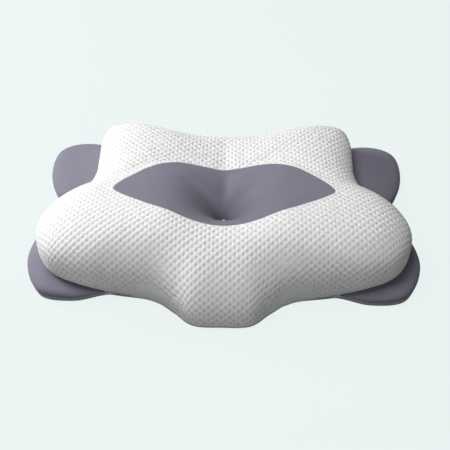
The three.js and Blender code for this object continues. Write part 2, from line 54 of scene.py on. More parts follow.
# ------------------------------------------------------------------ the shape, as in the CAD part
# panel x y | girth x y z | seam x y z | edge x y z | roll | tuck, from the neck side to the head side
STATIONS = np.array([
    [0, -88, 0, -211, 14, 0, -210, 4, 0, -210, 4, 2.0, 0.7],
    [15, -87, 46, -208, 16, 45, -207, 4, 45, -207, 4, 2.0, 0.7],
    [33, -84, 78, -182, 22, 76, -182, 4, 76, -182, 4, 2.15, 0.7],
    [57, -77, 112, -162, 30, 110, -159, 4, 110, -159, 4, 2.35, 0.6],
    [87, -64, 174, -155, 40, 177, -147, 9, 177, -147, 9, 2.55, 0.5],
    [118, -50, 230, -152, 44, 222, -143, 20, 236, -162, 8, 2.9, 0.4],
    [147, -34, 279, -129, 48, 272, -124, 28, 292, -153, 8, 3.1, 0.4],
    [169, -20, 304, -77, 50, 299, -78, 32, 321, -98, 8, 3.0, 0.4],
    [182, -4, 294, -27, 52, 289, -31, 32, 316, -40, 8, 2.7, 0.4],
    [170, 21, 271, 9, 54, 265, 3, 25, 293, 2, 8, 2.5, 0.4],
    [153, 42, 240, 36, 52, 259, 34, 16, 259, 34, 16, 2.6, 0.5],
    [136, 60, 228, 76, 52, 226, 74, 32, 300, 72, 8, 3.0, 0.4],
    [118, 73, 227, 120, 52, 223, 118, 38, 320, 128, 8, 3.5, 0.4],
    [100, 82, 228, 166, 52, 223, 162, 38, 315, 189, 8, 3.8, 0.4],
    [82, 88, 217, 200, 52, 212, 194, 32, 273, 214, 8, 3.8, 0.4],
    [64, 90, 184, 211, 50, 198, 204, 17.5, 198, 204, 17.5, 3.8, 0.8],
    [44, 89, 140, 206, 46, 176, 192, 17, 176, 192, 17, 3.8, 1.0],
    [22, 86, 70, 196, 42, 80, 192, 17, 80, 192, 17, 3.8, 1.0],
    [0, 84, 0, 194, 40, 0, 192, 17, 0, 192, 17, 3.8, 1.0],
])
X_COLUMNS = [0, 2, 5, 8]  # the entries that change sign on the left half
LINES = {"panel": slice(0, 2), "girth": slice(2, 5), "seam": slice(5, 8), "edge": slice(8, 11),
         "roll": 11, "tuck": 12}
LAST = len(STATIONS) - 1
LOOP = 2 * LAST  # stations all the way round
FRONT_WING = (4, 10)
REAR_WING = (10, 15)

# Height of the top along the middle and along the sides, and how far out the one gives way to the other:
# pairs of y and the value there.
MIDDLE_HEIGHTS = ((-208, 104), (-115, 106), (-65, 101), (-20, 87), (40, 75), (90, 73), (135, 74), (200, 83))
SIDE_HEIGHTS = ((-165, 112), (-90, 116), (-50, 114), (0, 106), (50, 96), (100, 91), (150, 93), (215, 100))
SIDE_REACH = ((-208, 160), (-110, 120), (-50, 100), (20, 100), (90, 130), (150, 160))

# The funnel: its place, the radii of its hole and floor, its depth, and how far its wall spreads
FUNNEL_Y, FUNNEL_HOLE, FUNNEL_FLOOR, FUNNEL_DEPTH = -50, 2.4, 5.2, 26
FUNNEL_SPREAD, FUNNEL_LEAN = 22, 15  # the lean is added towards the head side and taken off the neck side

WING_GIRTH_SHARE = 0.3  # height of a wing's widest line, between its lip and its top
WING_ROLL = 3  # squareness of a wing's section, 2 is an ellipse
WING_TUCK = 2  # how far a wing's lower edge is tucked in from its widest line
WING_TUCK_SHARE = 1 / 8  # but no more than this share of the wing's height
BASE_CORNER = 3  # width and height of the bevel round the resting face
BASE_CORNER_SHARE = 0.6  # but no higher than this share of the base panel's lip
BASE_CENTRE = (0, 40)  # the resting face fans out from here
UNDER_SHARE = 0.6  # how far down the cloth turns in under the girth
FUNNEL_CROWDING = 1.5  # above 1, rows crowd together towards the funnel's hole
LIP_ROWS = (0.35, 0.7, 1)  # rows from a wing's widest line to the lip, as shares of the way
FLAT_ROWS = (0.02, 0.06, 0.15, 0.35, 0.65, 1)  # and from the bevel to the middle of the resting face
HANG = 3  # how firmly a slanting wall's cloth is hung along x or y
WALL_NORMAL = 0.2  # cloth whose normal rises less than this is taken for a wall


def smoothstep(low, high, value):
    t = np.clip((value - low) / (high - low), 0, 1)
    return t * t * (3 - 2 * t)


def spline(a, b, c, d, t):
    """Catmull-Rom between b and c."""
    return 0.5 * (2 * b + (c - a) * t + (2 * a - 5 * b + 4 * c - d) * t**2 + (3 * b - a - 3 * c + d) * t**3)


def curve_through(knots, x):
    """Smooth curve through (x, value) knots, level beyond them."""
    xs, ys = np.array(knots, float).T
    n = np.clip(np.searchsorted(xs, x, side="right") - 1, 0, len(xs) - 2)
    t = np.clip((x - xs[n]) / (xs[n + 1] - xs[n]), 0, 1)
    at = [ys[np.clip(n + step, 0, len(xs) - 1)] for step in (-1, 0, 1, 2)]
    return spline(*at, t)


def funnel_share(x, y):
    """How much of the funnel's depth is reached here: 1 at its floor, 0 well away from it."""
    radius = np.maximum(1e-6, np.hypot(x, y - FUNNEL_Y))
    spread = FUNNEL_SPREAD + FUNNEL_LEAN * (y - FUNNEL_Y) / radius
    return np.exp(-np.maximum(0, radius - FUNNEL_FLOOR) / spread)


def top_height(x, y):
    """Height of the top: the middle's profile, giving way to the sides', less the funnel."""
    side = smoothstep(0, curve_through(SIDE_REACH, y), np.abs(x))
    height = (1 - side) * curve_through(MIDDLE_HEIGHTS, y) + side * curve_through(SIDE_HEIGHTS, y)
    return height - FUNNEL_DEPTH * funnel_share(x, y)


def lines_at(s):
    """Every line of the skin at loop positions s, where 0 is the neck side and LAST the head side."""
    span = np.floor(s).astype(int)
    t = (s - span)[:, None]
    around = []
    for step in (-1, 0, 1, 2):
        n = (span + step) % LOOP
        rows = STATIONS[np.where(n > LAST, LOOP - n, n)].copy()
        rows[:, X_COLUMNS] *= np.where(n > LAST, -1, 1)[:, None]
        around.append(rows)
    values = spline(*around, t)
    half = np.minimum(s, LOOP - s)
    off_wing = (half <= FRONT_WING[0]) | (half >= REAR_WING[1])
    values[off_wing, LINES["edge"]] = values[off_wing, LINES["seam"]]
    return {name: values[:, where] for name, where in LINES.items()}


def evenly_round(count, line="girth", start=0.0, end=LOOP):
    """Loop positions that are evenly spaced along one line; a full loop leaves out its repeated end."""
    fine = np.linspace(start, end, 4001)
    path = lines_at(fine % LOOP)[line][:, :2]
    run = np.concatenate([[0], np.cumsum(np.hypot(*np.diff(path, axis=0).T))])
    closed = end - start >= LOOP
    targets = np.linspace(0, run[-1], count + 1 if closed else count)
    s = np.interp(targets, run, fine)
    return s[:-1] if closed else s


def between(a, b, t):
    """Points from a to b at the fractions t: shapes (n, k), (n, k), (m,) give (n, m, k)."""
    return a[:, None] + (b - a)[:, None] * np.asarray(t)[None, :, None]


def funnel_section(lines, rows=60):
    """From the funnel's hole out to the edge of the centre panel."""
    centre = np.array([0.0, FUNNEL_Y])
    out = lines["panel"] - centre
    reach = np.linalg.norm(out, axis=1, keepdims=True)
    start = centre + out / reach * FUNNEL_HOLE
    plan = between(start, lines["panel"], np.linspace(0, 1, rows) ** FUNNEL_CROWDING)
    return np.concatenate([plan, top_height(plan[..., 0], plan[..., 1])[..., None]], 2)


def body_section(lines, rows=60):
    """From the centre panel's edge over the top, round the girth and under to the seam."""
    girth, seam = lines["girth"], lines["seam"]
    roll = lines["roll"][:, None]
    angle = np.linspace(0, np.pi / 2, rows)[None, :]
    t = np.sin(angle) ** (2 / roll)
    plan = lines["panel"][:, None] + (girth[:, None, :2] - lines["panel"][:, None]) * t[..., None]
    drop = np.cos(angle) ** (2 / roll)
    z = girth[:, 2:3] + (top_height(plan[..., 0], plan[..., 1]) - girth[:, 2:3]) * drop
    over = np.concatenate([plan, z[..., None]], 2)
    u = np.linspace(0, 1, rows // 3)[None, 1:, None]
    pull = np.clip(lines["tuck"] * 2 - 1, 0, 1)[:, None]
    control = girth.copy()
    control[:, :2] += (seam - girth)[:, :2] * pull
    control[:, 2] += (seam - girth)[:, 2] * UNDER_SHARE
    under = (1 - u) ** 2 * girth[:, None] + 2 * u * (1 - u) * control[:, None] + u**2 * seam[:, None]
    return np.concatenate([over, under], 1)


def lip_of(lines, inward):
    """The outline of the wings and the base, tucked in a little under each wing."""
    rise = np.maximum(0, lines["seam"][:, 2] - lines["edge"][:, 2])
    return lines["edge"] + inward * np.minimum(WING_TUCK, rise * WING_TUCK_SHARE)[:, None]


def wing_section(lines, inward, rows=40):
    """From the body's seam over the wing to the base panel's lip."""
    seam, edge = lines["seam"], lines["edge"]
    rise = seam[:, 2] - edge[:, 2]
    widest = (edge[:, 2] + rise * WING_GIRTH_SHARE)[:, None]
    angle = np.linspace(0, np.pi / 2, rows)[None, :]
    t = np.sin(angle) ** (2 / WING_ROLL)
    plan = seam[:, None, :2] + (edge - seam)[:, None, :2] * t[..., None]
    z = widest + (seam[:, 2:3] - widest) * np.cos(angle) ** (2 / WING_ROLL)
    over = np.concatenate([plan, z[..., None]], 2)
    return np.concatenate([over, between(over[:, -1], lip_of(lines, inward), LIP_ROWS)], 1)


def base_section(lines, inward):
    """From the lip down its wall and bevel, and in to the middle of the resting face."""
    lip = lip_of(lines, inward)
    bevel = np.minimum(BASE_CORNER, lines["edge"][:, 2] * BASE_CORNER_SHARE)
    foot = lip * [1, 1, 0] + bevel[:, None] * [0, 0, 1]
    wall = between(lip, foot, np.linspace(0, 1, 6))
    angle = np.linspace(0, np.pi / 2, 7)[None, 1:, None]
    round_in = foot[:, None] + inward[:, None] * BASE_CORNER * (1 - np.cos(angle))
    round_in[..., 2] = bevel[:, None] * (1 - np.sin(angle[..., 0]))
    centre = np.tile([*BASE_CENTRE, 0.0], (len(lip), 1))
    flat = between(round_in[:, -1], centre, FLAT_ROWS)
    return np.concatenate([wall, round_in, flat], 1)


def resample(columns, positions):
    """Each column's polyline at the given positions: a number of even steps, or an (n, m) array in mm."""
    steps = np.linalg.norm(np.diff(columns, axis=1), axis=2)
    run = np.concatenate([np.zeros((len(columns), 1)), np.cumsum(steps, 1)], 1)
    run += np.arange(run.shape[1]) * 1e-9
    total = run[:, -1]
    at = total[:, None] * np.linspace(0, 1, positions)[None] if np.isscalar(positions) else positions
    out = np.empty((len(columns), at.shape[1], 3))
    for n in range(len(columns)):
        for axis in range(3):
            out[n, :, axis] = np.interp(at[n], run[n], columns[n, :, axis])
    return out


def smooth_rows(grid, rounds):
    """Evens out kinks along each column; the ends stay."""
    for _ in range(rounds):
        grid[:, 1:-1] = (grid[:, :-2] + 2 * grid[:, 1:-1] + grid[:, 2:]) / 4
    return grid


def smooth_round(grid, rounds, closed=True):
    """Evens out each ring; an open strip keeps its ends."""
    for _ in range(rounds):
        blurred = (np.roll(grid, 1, 0) + 2 * grid + np.roll(grid, -1, 0)) / 4
        if not closed:
            blurred[0], blurred[-1] = grid[0], grid[-1]
        grid = blurred
    return grid


def normals_of(grid, closed=True):
    """Outward normals; where a column has shrunk to a point, its nearest neighbour's normal is taken."""
    along = np.gradient(grid, axis=1)
    if closed:
        across = (np.roll(grid, -1, 0) - np.roll(grid, 1, 0)) / 2
    else:
        across = np.gradient(grid, axis=0)
    normal = np.cross(along, across)
    length = np.linalg.norm(normal, axis=2, keepdims=True)
    good = length[..., 0] > 1e-7
    normal = np.where(length > 1e-7, normal / np.maximum(length, 1e-12), 0)
    if not good.all():
        rows = np.arange(len(grid))
        for k in range(grid.shape[1]):
            ok = rows[good[:, k]]
            if len(ok):
                nearest = ok[np.abs(rows[:, None] - ok[None]).argmin(1)]
                normal[:, k] = normal[nearest, k]
    return normal


def cloth_coordinates(grid, normal):
    """Where each point lies on the cloth, unrolled from the first row. Level steps stay as they are. A
    wall is unrolled outwards along x or y, whichever it faces, so that the knit's columns hang straight."""
    flat = normal[..., :2]
    out = flat[:, 1:] + flat[:, :-1]
    out /= np.maximum(1e-6, np.linalg.norm(out, axis=2, keepdims=True))
    hang = out * np.abs(out) ** (HANG - 1)
    hang /= np.maximum(1e-6, np.linalg.norm(hang, axis=2, keepdims=True))
    step = np.diff(grid, axis=1)
    level, rise = step[..., :2], step[..., 2]
    outward = (level * out).sum(2)
    facing_up = (normal[:, 1:, 2] + normal[:, :-1, 2]) / 2 > WALL_NORMAL
    sign = np.where(facing_up, np.sign(outward), -np.sign(rise))
    move = level + hang * (sign * np.hypot(outward, rise) - outward)[..., None]
    start = grid[:, :1, :2]
    return np.concatenate([start, start + np.cumsum(move, 1)], 1)


# ------------------------------------------------------------------ meshes
def grid_mesh(name, grid, closed=True, ring=False, uv=None, values=None, weld=False):
    """A mesh of quads from an (n, m, 3) grid in millimetres, columns first. A closed grid joins its last
    column to its first, and a ring joins each column's last row to its first."""
    n, m = grid.shape[:2]
    i = np.arange(n if closed else n - 1)[:, None]
    k = np.arange(m if ring else m - 1)[None]
    across, along = (i + 1) % n, (k + 1) % m
    corners = (i * m + k, i * m + along, across * m + along, across * m + k)
    loops = np.stack([corner.ravel() for corner in corners], 1).astype(np.int32)
    mesh = bpy.data.meshes.new(name)
    mesh.vertices.add(n * m)
    mesh.vertices.foreach_set("co", (grid * MM).astype(np.float32).ravel())
    mesh.loops.add(loops.size)
    mesh.loops.foreach_set("vertex_index", loops.ravel())
    mesh.polygons.add(len(loops))
    mesh.polygons.foreach_set("loop_start", np.arange(0, loops.size, 4, dtype=np.int32))
    mesh.update(calc_edges=True)
    mesh.polygons.foreach_set("use_smooth", np.ones(len(loops), bool))
    if uv is not None:
        layer = mesh.uv_layers.new(name="UVMap")
        layer.data.foreach_set("uv", (uv.reshape(-1, 2)[loops.ravel()] * MM).astype(np.float32).ravel())
    for key, data in (values or {}).items():
        attribute = mesh.attributes.new(key, "FLOAT", "POINT")
        attribute.data.foreach_set("value", data.astype(np.float32).ravel())
    if weld:
        bm = bmesh.new()
        bm.from_mesh(mesh)
        bmesh.ops.remove_doubles(bm, verts=bm.verts, dist=2e-6)
        bm.to_mesh(mesh)
        bm.free()
    obj = bpy.data.objects.new(name, mesh)
    bpy.context.scene.collection.objects.link(obj)
    return obj


def place(obj, body, slot, material, *nodes):
    """Gives a finished piece its material and its body, and hides the CAD nodes it stands for."""
    obj.data.materials.clear()
    obj.data.materials.append(material)
    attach(obj, body)
    if nodes:
        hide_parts(*nodes)
    return obj


# ------------------------------------------------------------------ the skin, pressed out by simulation
COARSE_COLUMNS = 168
COARSE_ROWS = {"funnel": 24, "body": 40, "wing": 14, "base": 16}
VOXEL = 6.0  # size of the simulated cloth's faces
PRESSURE = 4.0
SIM_FRAMES = 20
SWELL_START = 1.2  # the simulated skin starts this much smaller
SWELL_CAP = 3.2  # no point may be moved further than this
SEAM_HOLD = 9.0  # how far from a seam its stitches still hold the cloth
BASE_HOLD = 8.0  # below this height the weight on the table holds it
TANGENT_STEP = 0.02  # half the stretch of the loop over which its direction is measured
NEAREST, SOFTENING = 4, 0.5  # simulated points that move each place, and a distance added to all of theirs


def sections_at(s):
    """The columns of every panel at loop positions s."""
    lines = lines_at(s)
    ahead, behind = lines_at((s + TANGENT_STEP) % LOOP), lines_at((s - TANGENT_STEP) % LOOP)
    along = (ahead["edge"] - behind["edge"])[:, :2]
    along /= np.maximum(1e-9, np.linalg.norm(along, axis=1))[:, None]
    inward = np.stack([-along[:, 1], along[:, 0], np.zeros(len(s))], 1)
    return {
        "funnel": funnel_section(lines),
        "body": body_section(lines),
        "wing": wing_section(lines, inward),
        "base": base_section(lines, inward),
    }


def nearest_tree(points):
    tree = KDTree(len(points))
    for n, point in enumerate(points):
        tree.insert(point, n)
    tree.balance()
    return tree


def vertices_of(mesh):
    """A mesh's points in mm."""
    co = np.empty(len(mesh.vertices) * 3, np.float32)
    mesh.vertices.foreach_get("co", co)
    return co.reshape(-1, 3).astype(float) / MM


def even_hull(grids):
    """The whole cover as one closed skin of even faces."""
    panels = [grids["funnel"]] + [grids[name][:, 1:] for name in ("body", "wing", "base")]
    hull = grid_mesh("swelling_trial", np.concatenate(panels, 1), weld=True)
    bm = bmesh.new()
    bm.from_mesh(hull.data)
    bmesh.ops.holes_fill(bm, edges=bm.edges)
    bm.to_mesh(hull.data)
    bm.free()
    remesh = hull.modifiers.new("Remesh", "REMESH")
    remesh.mode = "VOXEL"
    remesh.voxel_size = VOXEL * MM
    bpy.context.view_layer.update()
    graph = bpy.context.evaluated_depsgraph_get()
    even = bpy.data.meshes.new_from_object(hull.evaluated_get(graph))
    hull.modifiers.clear()
    hull.data = even
    return hull


def held_share(points, grids):
    """How firmly each point is held: 1 at the seams, the tuft and the table, 0 away from them."""
    seams = [grids["funnel"][:, 0], grids["body"][:, 0], grids["wing"][:, 0], grids["wing"][:, -1]]
    tree = nearest_tree(np.concatenate(seams))
    away = np.array([tree.find(point)[2] for point in points])
    by_seam = 1 - smoothstep(0, SEAM_HOLD, away)
    by_table = 1 - smoothstep(BASE_HOLD / 2, BASE_HOLD, points[:, 2])
    return np.maximum(by_seam, by_table)


def inflate(hull, held):
    """Runs the cloth under pressure and returns where its points end up, in mm."""
    pins = hull.vertex_groups.new(name="held")
    for n, weight in enumerate(held):
        if weight > 0:
            pins.add([n], float(weight), "REPLACE")
    cloth = hull.modifiers.new("Cloth", "CLOTH")
    settings = cloth.settings
    settings.quality = 5
    settings.mass = 0.3
    settings.tension_stiffness = 20
    settings.compression_stiffness = 20
    settings.shear_stiffness = 8
    settings.bending_stiffness = 2
    settings.use_pressure = True
    settings.uniform_pressure_force = PRESSURE
    settings.vertex_group_mass = "held"
    settings.effector_weights.gravity = 0
    cloth.collision_settings.use_collision = False
    cloth.point_cache.frame_start = 1
    cloth.point_cache.frame_end = SIM_FRAMES
    scene = bpy.context.scene
    scene.frame_start, scene.frame_end = 1, SIM_FRAMES
    for number in range(1, SIM_FRAMES + 1):
        scene.frame_set(number)
    graph = bpy.context.evaluated_depsgraph_get()
    pressed = vertices_of(bpy.data.meshes.new_from_object(hull.evaluated_get(graph)))
    scene.frame_set(1)
    bpy.data.objects.remove(hull)
    return pressed


def field_on(grid, points, moved):
    """What the points nearest to each place in the grid were moved by, weighted by nearness."""
    tree = nearest_tree(points)
    field = np.zeros_like(grid)
    for place_in_grid in np.ndindex(grid.shape[:2]):
        near = tree.find_n(grid[place_in_grid], NEAREST)
        weights = np.array([1 / (distance + SOFTENING) for _, _, distance in near])
        picked = moved[[index for _, index, _ in near]]
        field[place_in_grid] = weights @ picked / weights.sum()
    return smooth_rows(smooth_round(field, 2), 1)


def simulate_swelling():
    """Displacements in mm of the coarse skin, as {section: grid}, after pressure has filled the cover."""
    s = evenly_round(COARSE_COLUMNS)
    raw = sections_at(s)
    grids = {name: resample(raw[name], rows) for name, rows in COARSE_ROWS.items()}
    hull = even_hull(grids)
    start = vertices_of(hull.data)
    held = held_share(start, grids)
    normal = np.empty(len(start) * 3, np.float32)
    hull.data.vertex_normals.foreach_get("vector", normal)
    small = start - normal.reshape(-1, 3) * (SWELL_START * (1 - held))[:, None]
    hull.data.vertices.foreach_set("co", (small * MM).astype(np.float32).ravel())
    hull.data.update()
    moved = inflate(hull, held) - start
    length = np.linalg.norm(moved, axis=1, keepdims=True)
    moved *= np.minimum(1, SWELL_CAP / np.maximum(length, 1e-9))
    return s, {name: field_on(grid, start, moved) for name, grid in grids.items()}


def swelling_at(coarse, section, s, fraction):
    """The simulated displacement at loop positions s and row fractions (n, m)."""
    coarse_s, fields = coarse
    field = fields[section]
    ends = np.concatenate([coarse_s, [coarse_s[0] + LOOP]])
    column = np.interp(s, ends, np.arange(len(ends)))[:, None]
    row = np.clip(fraction, 0, 1) * (field.shape[1] - 1)
    i, k = np.floor(column).astype(int), np.minimum(np.floor(row).astype(int), field.shape[1] - 2)
    ti, tk = (column - i)[..., None], (row - k)[..., None]
    j = (i + 1) % len(field)
    i = i % len(field)
    near = field[i, k] * (1 - tk) + field[i, k + 1] * tk
    far = field[j, k] * (1 - tk) + field[j, k + 1] * tk
    return near * (1 - ti) + far * ti


# ------------------------------------------------------------------ the sewn cloth panels
FLAT_BELOW = 0.5  # the cloth under this height lies flat on the floor
CLOTH = 1.9  # thickness
EDGE_STEPS = (0, 0.15, 0.4, 0.75, 1.2, 1.8)  # rows by a sewn edge, where the cloth rolls into the seam
ROLL_WIDTH, ROLL_DEPTH = 1.7, 1.5  # how far from the edge that roll starts, and how far down it goes
NARROW_PANEL = 6  # a panel narrower than this many edge rolls has smaller rolls
INNER_STEP = 8  # the cloth's hidden face needs only every eighth row
SMOOTH_ROUND, SMOOTH_ALONG = 12, 6  # rounds of smoothing of the swelling, round the loop and down a column

CELL_U, CELL_V = 13.0, 12.0  # the white knit's staggered puffs: two to each cell
PIT_U, PIT_V = 1.6, 3.0  # half width and half length of the pits between them
PUFF_HEIGHT, PIT_DEPTH = 0.32, 0.85
PUFF_FADE = (0.6, 3.5)  # the puffs are pressed flat by a seam, and are whole this far from it


def row_positions(total, count, skip_start, skip_end):
    """Distances along each column, the same from the nearest edge, and how much the edge rows are shrunk."""
    length = total - skip_start - skip_end
    scale = np.minimum(1, length / (NARROW_PANEL * EDGE_STEPS[-1]))[:, None]
    lead = np.array(EDGE_STEPS)[None] * scale
    span = length[:, None] - 2 * lead[:, -1:]
    middle = lead[:, -1:] + span * np.linspace(0, 1, count)[None, 1:-1]
    inside = np.concatenate([lead, middle, length[:, None] - lead[:, ::-1]], 1)
    from_edge = np.minimum(inside, length[:, None] - inside) / np.maximum(scale, 1e-6)
    return inside + skip_start[:, None], from_edge, scale


def lattice_puffs(uv):
    """1 on top of each puff, -1 between them."""
    return np.cos(uv[..., 0] * 2 * np.pi / CELL_U) * np.cos(uv[..., 1] * 2 * np.pi / CELL_V)


def lattice_pits(uv):
    """1 at the bottom of each pit between the puffs, 0 on the puffs."""
    pits = np.zeros(uv.shape[:2])
    for shift_u, shift_v in ((CELL_U / 2, 0), (0, CELL_V / 2)):
        u = (uv[..., 0] - shift_u + CELL_U / 2) % CELL_U - CELL_U / 2
        v = (uv[..., 1] - shift_v + CELL_V / 2) % CELL_V - CELL_V / 2
        pits = np.maximum(pits, np.exp(-(u / PIT_U) ** 2 - (v / PIT_V) ** 2))
    return pits


def panel(name, section, s, count, coarse, closed=True, skip_start=0.0, skip_end=0.0, puffs=False):
    """One sewn panel as a closed shell of cloth, rolled down into the seams along its two edges."""
    columns = sections_at(s % LOOP)[section]
    total = np.linalg.norm(np.diff(columns, axis=1), axis=2).sum(1)
    skip_start = np.broadcast_to(skip_start, total.shape)
    skip_end = np.broadcast_to(skip_end, total.shape)
    at, from_edge, scale = row_positions(total, count, skip_start, skip_end)
    grid = resample(columns, at)
    move = swelling_at(coarse, section, s % LOOP, at / np.maximum(total[:, None], 1e-6))
    grid += smooth_rows(smooth_round(move, SMOOTH_ROUND, closed), SMOOTH_ALONG)
    normal = normals_of(grid, closed)
    normal[grid[..., 2] < FLAT_BELOW] = (0, 0, -1)
    uv = cloth_coordinates(grid, normal)
    near = 1 - np.clip(from_edge / ROLL_WIDTH, 0, 1)
    height = -ROLL_DEPTH * (1 - np.sqrt(1 - near**2)) * scale
    pits = np.zeros(from_edge.shape)
    if puffs:
        fade = smoothstep(*PUFF_FADE, from_edge)
        pits = lattice_pits(uv) * fade
        height += PUFF_HEIGHT * lattice_puffs(uv) * fade - PIT_DEPTH * pits
    outer = grid + normal * height[..., None]
    picks = np.arange(INNER_STEP // 2, grid.shape[1] - 1, INNER_STEP)
    inner = grid[:, picks] - normal[:, picks] * (CLOTH * scale)[..., None]
    full = np.concatenate([outer, inner[:, ::-1]], 1)
    order = np.concatenate([np.arange(grid.shape[1]), picks[::-1]])
    hidden = np.arange(full.shape[1]) >= grid.shape[1]
    # painted shade for the grey knit, strongest at the funnel's floor where the valley lies in shadow
    funnel_shade_mask = funnel_share(full[..., 0], full[..., 1])
    values = {"pit": pits[:, order] * ~hidden, "edge": from_edge[:, order], "funnel_shade_mask": funnel_shade_mask}
    obj = grid_mesh(name, full, closed, ring=True, uv=uv[:, order], values=values)
    if not closed:
        close_ends(obj)
    return obj


def close_ends(obj):
    """Fills the open ends of a strip or a tube."""
    bm = bmesh.new()
    bm.from_mesh(obj.data)
    bmesh.ops.remove_doubles(bm, verts=bm.verts, dist=1e-6)
    bmesh.ops.holes_fill(bm, edges=[edge for edge in bm.edges if edge.is_boundary])
    bmesh.ops.recalc_face_normals(bm, faces=bm.faces)
    bm.to_mesh(obj.data)
    bm.free()


# ------------------------------------------------------------------ node materials
def new_material(name):
    """A new node material with its node tree and main shader."""
    material = bpy.data.materials.new(name)
    material.use_nodes = True
    tree = material.node_tree
    return material, tree, tree.nodes["Principled BSDF"]


def add_node(tree, kind, inputs=None, **settings):
    """A node whose inputs are given as values or as other nodes' outputs."""
    node = tree.nodes.new(kind)
    for key, value in settings.items():
        setattr(node, key, value)
    for key, value in (inputs or {}).items():
        if isinstance(value, bpy.types.NodeSocket):
            tree.links.new(value, node.inputs[key])
        else:
            node.inputs[key].default_value = value
    return node


def maths(tree, operation, *values):
    return add_node(tree, "ShaderNodeMath", dict(enumerate(values)), operation=operation).outputs[0]


def colour(text):
    """Linear colour from an sRGB hex code."""
    values = [int(text[n:n + 2], 16) / 255 for n in (1, 3, 5)]
    linear = [v / 12.92 if v <= 0.04045 else ((v + 0.055) / 1.055) ** 2.4 for v in values]
    return (*linear, 1)


def mix(tree, factor, a, b):
    """Colour a where the factor is 0, colour b where it is 1."""
    return add_node(tree, "ShaderNodeMix", {0: factor, 6: a, 7: b}, data_type="RGBA").outputs[2]


def noise(tree, scale, detail=2, vector=None):
    inputs = {"Scale": scale, "Detail": detail}
    if vector is not None:
        inputs["Vector"] = vector
    return add_node(tree, "ShaderNodeTexNoise", inputs).outputs["Fac"]


def cloth_uv(tree):
    """The place on the unrolled cloth, as a vector and as its two numbers, in metres."""
    vector = add_node(tree, "ShaderNodeUVMap", uv_map="UVMap").outputs["UV"]
    split = add_node(tree, "ShaderNodeSeparateXYZ", {"Vector": vector})
    return vector, split.outputs["X"], split.outputs["Y"]


def ripple(tree, coordinate, pitch):
    """A cosine from 0 to 1 along a coordinate in metres, repeating every pitch millimetres."""
    turn = maths(tree, "MULTIPLY", coordinate, 2 * math.pi / (pitch * MM))
    return maths(tree, "MULTIPLY_ADD", maths(tree, "COSINE", turn), 0.5, 0.5)


def knit_height(tree, u, v, wale, course):
    """Rows of small v-shaped loops, wale wide and course high in mm: the phase along v swings with u."""
    swing = maths(tree, "ABSOLUTE", maths(tree, "SINE", maths(tree, "MULTIPLY", u, math.pi / (wale * MM))))
    leaning = maths(tree, "MULTIPLY_ADD", swing, course * MM * 0.6, v)
    loops = ripple(tree, leaning, course)
    return maths(tree, "MULTIPLY", maths(tree, "MULTIPLY_ADD", loops, 0.6, 0.4), maths(tree, "SQRT", swing))


def dress(tree, shader, base, height, strength, depth, settings):
    """Gives the shader its colour, its bump (depth in mm) and the settings of its other inputs."""
    tree.links.new(base, shader.inputs["Base Color"])
    bump = add_node(tree, "ShaderNodeBump", {"Strength": strength, "Distance": depth * MM, "Height": height})
    tree.links.new(bump.outputs[0], shader.inputs["Normal"])
    for name, value in settings.items():
        shader.inputs[name].default_value = value


PAINTED_PIT_SHADE = 0.5  # how dark the painted shade makes the white knit at the bottom of a pit
RIM_WIDTH, PAINTED_RIM_SHADE = 1.2, 0.25  # and the width and strength of the painted shade along its seams, where the cloth rolls in


def puff_knit():
    """The white knit: yarn loops and fuzz in the bump, and painted shade in the pits and along the seams."""
    material, tree, shader = new_material("white_puff_knit")
    vector, u, v = cloth_uv(tree)
    pit = add_node(tree, "ShaderNodeAttribute", attribute_name="pit").outputs["Fac"]
    edge = add_node(tree, "ShaderNodeAttribute", attribute_name="edge").outputs["Fac"]
    loops = knit_height(tree, u, v, 1.0, 1.2)
    mottling = noise(tree, 60, 3, vector)
    base = mix(tree, mottling, colour("#efefed"), colour("#f8f8f7"))
    # painted shade: the white knit is darkened at the bottom of each pit
    shade = maths(tree, "MULTIPLY", maths(tree, "POWER", pit, 1.4), PAINTED_PIT_SHADE)
    base = mix(tree, shade, base, colour("#98989f"))
    base = mix(tree, maths(tree, "MULTIPLY_ADD", loops, -0.06, 0.06), base, colour("#c4c4c6"))
    # painted shade: the white knit is darkened along its seams, where the cloth rolls into them
    inside = maths(tree, "SMOOTH_MIN", maths(tree, "DIVIDE", edge, RIM_WIDTH), 1, 0.2)
    rim = maths(tree, "SUBTRACT", 1, inside)
    base = mix(tree, maths(tree, "MULTIPLY", rim, PAINTED_RIM_SHADE), base, colour("#d9d9d9"))
    fuzz = noise(tree, 1800, 2, vector)
    height = maths(tree, "MULTIPLY_ADD", fuzz, 0.35, loops)
    settings = {"Roughness": 0.88, "Sheen Weight": 0.18, "Sheen Roughness": 0.5, "Specular IOR Level": 0.25}
    dress(tree, shader, base, height, 0.5, 0.25, settings)
    return material


RIB_U, RIB_V, RIB_SHADE = 3.2, 3.6, 0.32  # pitch of the grey knit's ribs each way, and their depth of tone
PAINTED_FUNNEL_SHADE = 0.85  # how dark the painted shade gets towards the funnel's floor
